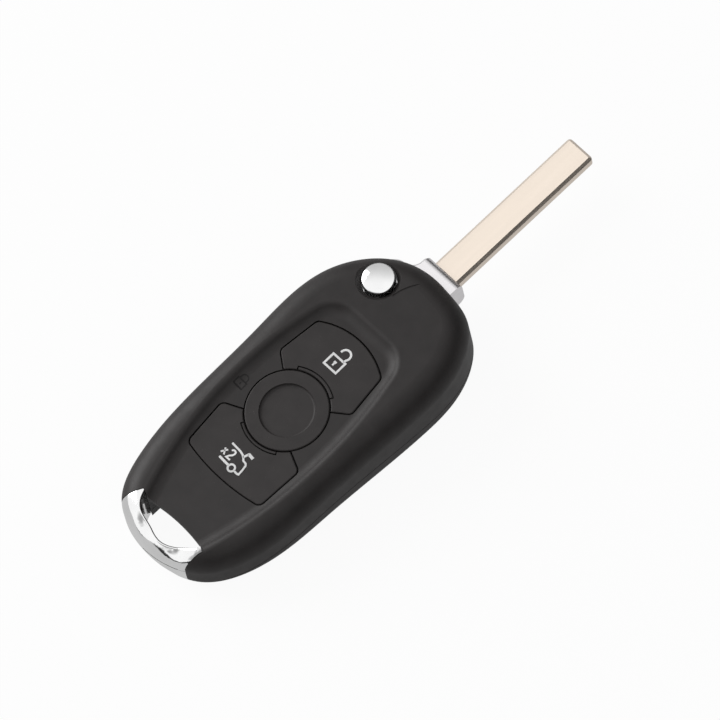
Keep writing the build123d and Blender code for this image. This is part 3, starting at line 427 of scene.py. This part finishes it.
def reshaped(node, body, shift):
    """Copy of a node with each point moved, in the node's place."""
    data = nodes[node].data.copy()
    for vertex in data.vertices:
        vertex.co = Vector(shift(*(vertex.co / MM))) * MM
    data.shade_smooth()
    data.set_sharp_from_angle(angle=SMOOTH_BELOW)
    piece = placed(f"{node}_seen", data)
    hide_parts(node)
    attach(piece, body)
    return piece


reshaped("keyring_bow", "case", bow_shift)
reshaped("blade_hub", "blade_assembly", hub_shift)
spring = reshaped("release_spring", "blade_assembly", as_it_is)
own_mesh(spring)


# Printed and moulded icons, in millimetres: each stroke is its points, whether it closes, and its width

PRINT_LIFT = 0.02
PRINT_SINK = 0.05
MITRE_LEAST = 0.4                  # keeps sharp corners from reaching far out
ARC_STEPS = 20
STROKE = 0.46
THIN_STROKE = 0.42
MARK_STROKE = 0.36
LOCK_LINE = 0.27


def thicken(points, width, closed):
    """Left and right edge points of a stroke with mitred corners."""
    spots = [Vector(p) for p in points]
    count = len(spots)
    runs = [(spots[(i + 1) % count] - spots[i]).normalized() for i in range(count)]
    left, right = [], []
    for i, here in enumerate(spots):
        before = runs[i - 1] if closed or i > 0 else runs[i]
        after = runs[i] if closed or i < count - 1 else runs[i - 1]
        side = Vector((-before.y, before.x))
        mitre = (side + Vector((-after.y, after.x))).normalized()
        reach = width / 2 / max(mitre.dot(side), MITRE_LEAST)
        left.append(here + mitre * reach)
        right.append(here - mitre * reach)
    return left, right


def arc(cx, cy, radius, start, end, steps=ARC_STEPS):
    """Points along an arc between two angles in degrees."""
    angles = [math.radians(start + (end - start) * i / steps) for i in range(steps + 1)]
    return [(cx + radius * math.cos(a), cy + radius * math.sin(a)) for a in angles]


def strokes(name, lines, material, body, height_at=button_height):
    """One thin raised mesh made of several strokes."""
    vertices, faces = [], []
    for points, closed, width in lines:
        left, right = thicken(points, width, closed)
        first = len(vertices)
        for a, b in zip(left, right):
            for side, level in ((a, PRINT_LIFT), (b, PRINT_LIFT), (b, -PRINT_SINK), (a, -PRINT_SINK)):
                height = height_at(side.x, side.y) + level
                vertices.append((side.x * MM, side.y * MM, height * MM))
        count = len(points)
        last = count if closed else count - 1
        for i in range(last):
            one = first + 4 * i
            two = first + 4 * ((i + 1) % count)
            for k in range(4):
                faces.append((one + k, one + (k + 1) % 4, two + (k + 1) % 4, two + k))
        if not closed:
            end = first + 4 * (count - 1)
            faces.append((first + 3, first + 2, first + 1, first))
            faces.append((end, end + 1, end + 2, end + 3))
    data = bpy.data.meshes.new(name)
    data.from_pydata(vertices, [], faces)
    data.validate()
    data.materials.append(material)
    piece = placed(name, data)
    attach(piece, body)


unlock_icon = [
    ([(12.18, -1.62), (12.18, 1.78), (14.92, 1.78), (14.92, -1.62)], True, STROKE),
    ([(12.95, 0.14), (13.6, 0.14)], False, THIN_STROKE),
    ([(13.55, 0.14), (14.05, 0.14)], False, 0.66),
    ([(14.95, -1.05)] + arc(16.25, -0.3, 1.15, -127, 96), False, STROKE),
]
boot_icon = [
    (
        [(-12.25, 3.3), (-12.33, 2.06), (-12.4, 0.82), (-12.6, -0.02), (-13.0, -0.65), (-13.44, -1.1)]
        + [(-13.54, -1.85), (-13.87, -2.19), (-15.0, -2.37), (-16.1, -2.42), (-16.24, -2.15), (-16.2, -1.0)],
        False,
        THIN_STROKE,
    ),
    ([(-12.95, -0.5), (-12.25, -0.78), (-11.65, -1.0)], False, 0.48),
    ([(-11.7, -0.86), (-11.86, -2.3)], False, 0.64),
    (arc(-16.11, -0.32, 0.76, 0, 342, 18), True, THIN_STROKE),
    ([(-15.95, 3.3), (-16.1, 0.48)], False, 0.5),
]
twice_mark = [
    ([(-15.07, 3.8), (-13.81, 2.92)], False, MARK_STROKE),
    ([(-13.84, 3.62), (-15.14, 2.86)], False, MARK_STROKE),
    (
        [(-13.45, 2.22), (-13.16, 2.0), (-13.08, 1.64), (-13.22, 1.3), (-13.58, 1.2), (-14.1, 1.4)]
        + [(-14.55, 1.86), (-15.14, 2.16), (-15.14, 1.08)],
        False,
        0.38,
    ),
]
lock_mark = [
    ([(-3.05, 10.15), (-3.05, 12.35), (-1.55, 12.35), (-1.55, 10.15)], True, LOCK_LINE),
    ([(-2.5, 11.27), (-2.0, 11.27)], False, LOCK_LINE),
    ([(-1.5, 12.05)] + arc(-0.95, 11.27, 0.78, 90, -90) + [(-1.5, 10.5)], False, LOCK_LINE),
]
strokes("unlock_icon", unlock_icon, white_ink, "unlock_key")
strokes("boot_icon", boot_icon, white_ink, "boot_key")
strokes("twice_mark", twice_mark, white_ink, "boot_key")
# The lock mark is real moulded relief; its darker colour is painted shade
strokes("lock_mark", lock_mark, relief_painted_shade, "case", panel_height)


# Floor, world and lamp

FLOOR_HALF_M = 6.0
FLOOR_DROP_M = 0.00002
FLOOR_COLOR = (0.93, 0.93, 0.93)
FLOOR_ROUGHNESS = 0.9
FLOOR_SPECULAR = 0.1
SHADOW_SHARE = 0.06                # how much of the lit floor the camera sees over plain white
FLOOR_IN_METAL = 0.55              # level of the pale floor that polished pieces see
WORLD_FILL = 0.43
DARK_SIDE = 0.03                   # what polished pieces see near the dark horizon
HORIZONS = (                       # leaning directions, and where along them the dark ends
    ((-0.44, 0.33, 1.0), 0.32, 0.46),
    ((0.2, 0.5, 1.0), 0.0, 0.12),
)
FALL_TOWARDS = (0.67, 0.63, 0.0)   # the studio's white dims towards the blade and the folding side
FALL_FROM, FALL_TO = 0.1, 0.8
FALL_LEVEL = 0.58
DIM_PATCH = (-0.68, -0.12, 0.72)   # a dim patch of the studio beyond the ring end
PATCH_FROM, PATCH_TO = 0.88, 0.96
PATCH_LEVEL = 0.3
LAMP_PLACE = Vector((-0.25, 1.1, 0.6))
LAMP_SIZE = 0.9
LAMP_WATTS = 12.5


def light_path_mix(tree, plain, shown, *rays):
    """Shader that is shown to those kinds of ray and plain to all others."""
    path = tree.nodes.new("ShaderNodeLightPath")
    seen = path.outputs[rays[0]]
    for ray in rays[1:]:
        either = add(tree, "ShaderNodeMath", operation="MAXIMUM")
        tree.links.new(seen, either.inputs[0])
        tree.links.new(path.outputs[ray], either.inputs[1])
        seen = either.outputs[0]
    mix = tree.nodes.new("ShaderNodeMixShader")
    tree.links.new(seen, mix.inputs["Fac"])
    tree.links.new(plain, mix.inputs[1])
    tree.links.new(shown, mix.inputs[2])
    return mix.outputs[0]


def pale_floor():
    """White floor that keeps a soft shadow of the key."""
    half = FLOOR_HALF_M
    corners = [(-half, -half), (half, -half), (half, half), (-half, half)]
    data = bpy.data.meshes.new("floor")
    data.from_pydata([(x, y, -FLOOR_DROP_M) for x, y in corners], [], [(0, 1, 2, 3)])
    floor = placed("floor", data)
    material, tree, principled = shader(
        "floor_white", FLOOR_COLOR, FLOOR_ROUGHNESS, specular=FLOOR_SPECULAR
    )
    lit = principled.outputs[0]
    white = add(tree, "ShaderNodeEmission", Color=WHITE, Strength=1.0)
    blend = add(tree, "ShaderNodeMixShader", Fac=SHADOW_SHARE)
    tree.links.new(white.outputs[0], blend.inputs[1])
    tree.links.new(lit, blend.inputs[2])
    pale = add(tree, "ShaderNodeEmission", Color=WHITE, Strength=FLOOR_IN_METAL)
    hidden = light_path_mix(tree, lit, pale.outputs[0], "Is Glossy Ray")
    surface = light_path_mix(tree, hidden, blend.outputs[0], "Is Camera Ray", "Is Transmission Ray")
    tree.links.new(surface, tree.nodes["Material Output"].inputs["Surface"])
    data.materials.append(material)


def along(tree, direction, start, stop, low, high):
    """Level that goes smoothly from low to high as a ray leans along a direction."""
    where = tree.nodes.new("ShaderNodeTexCoord")
    dot = add(tree, "ShaderNodeVectorMath", operation="DOT_PRODUCT")
    dot.inputs[1].default_value = direction
    tree.links.new(where.outputs["Generated"], dot.inputs[0])
    level = add(tree, "ShaderNodeMapRange", interpolation_type="SMOOTHSTEP")
    for key, value in (("From Min", start), ("From Max", stop), ("To Min", low), ("To Max", high)):
        level.inputs[key].default_value = value
    tree.links.new(dot.outputs["Value"], level.inputs["Value"])
    return level.outputs["Result"]


def studio_reflection(tree):
    """Level that polished pieces see: white above, dark horizons, a dimmer far side and a patch."""
    level = along(tree, FALL_TOWARDS, FALL_FROM, FALL_TO, 1.0, FALL_LEVEL)
    shares = [along(tree, lean, start, stop, DARK_SIDE, 1.0) for lean, start, stop in HORIZONS]
    shares.append(along(tree, DIM_PATCH, PATCH_FROM, PATCH_TO, 1.0, PATCH_LEVEL))
    for share in shares:
        product = add(tree, "ShaderNodeMath", operation="MULTIPLY")
        tree.links.new(level, product.inputs[0])
        tree.links.new(share, product.inputs[1])
        level = product.outputs[0]
    return level


def white_world():
    """White to the camera, a plain studio to polished pieces and a gentler fill to all else."""
    world = bpy.data.worlds.new("world")
    bpy.context.scene.world = world
    world.use_nodes = True
    tree = world.node_tree
    tree.nodes.clear()
    fill = add(tree, "ShaderNodeBackground", Color=WHITE, Strength=WORLD_FILL)
    studio = add(tree, "ShaderNodeBackground", Color=WHITE)
    tree.links.new(studio_reflection(tree), studio.inputs["Strength"])
    white = add(tree, "ShaderNodeBackground", Color=WHITE, Strength=1.0)
    lit = light_path_mix(tree, fill.outputs[0], studio.outputs[0], "Is Glossy Ray")
    surface = light_path_mix(tree, lit, white.outputs[0], "Is Camera Ray", "Is Transmission Ray")
    out = tree.nodes.new("ShaderNodeOutputWorld")
    tree.links.new(surface, out.inputs["Surface"])


def soft_lamp():
    """Square soft lamp aimed at the key."""
    data = bpy.data.lights.new("key_lamp", "AREA")
    data.size = LAMP_SIZE
    data.energy = LAMP_WATTS
    lamp = placed("key_lamp", data)
    lamp.location = LAMP_PLACE
    lamp.rotation_euler = (AIM - LAMP_PLACE).to_track_quat("-Z", "Y").to_euler()


pale_floor()
white_world()
soft_lamp()
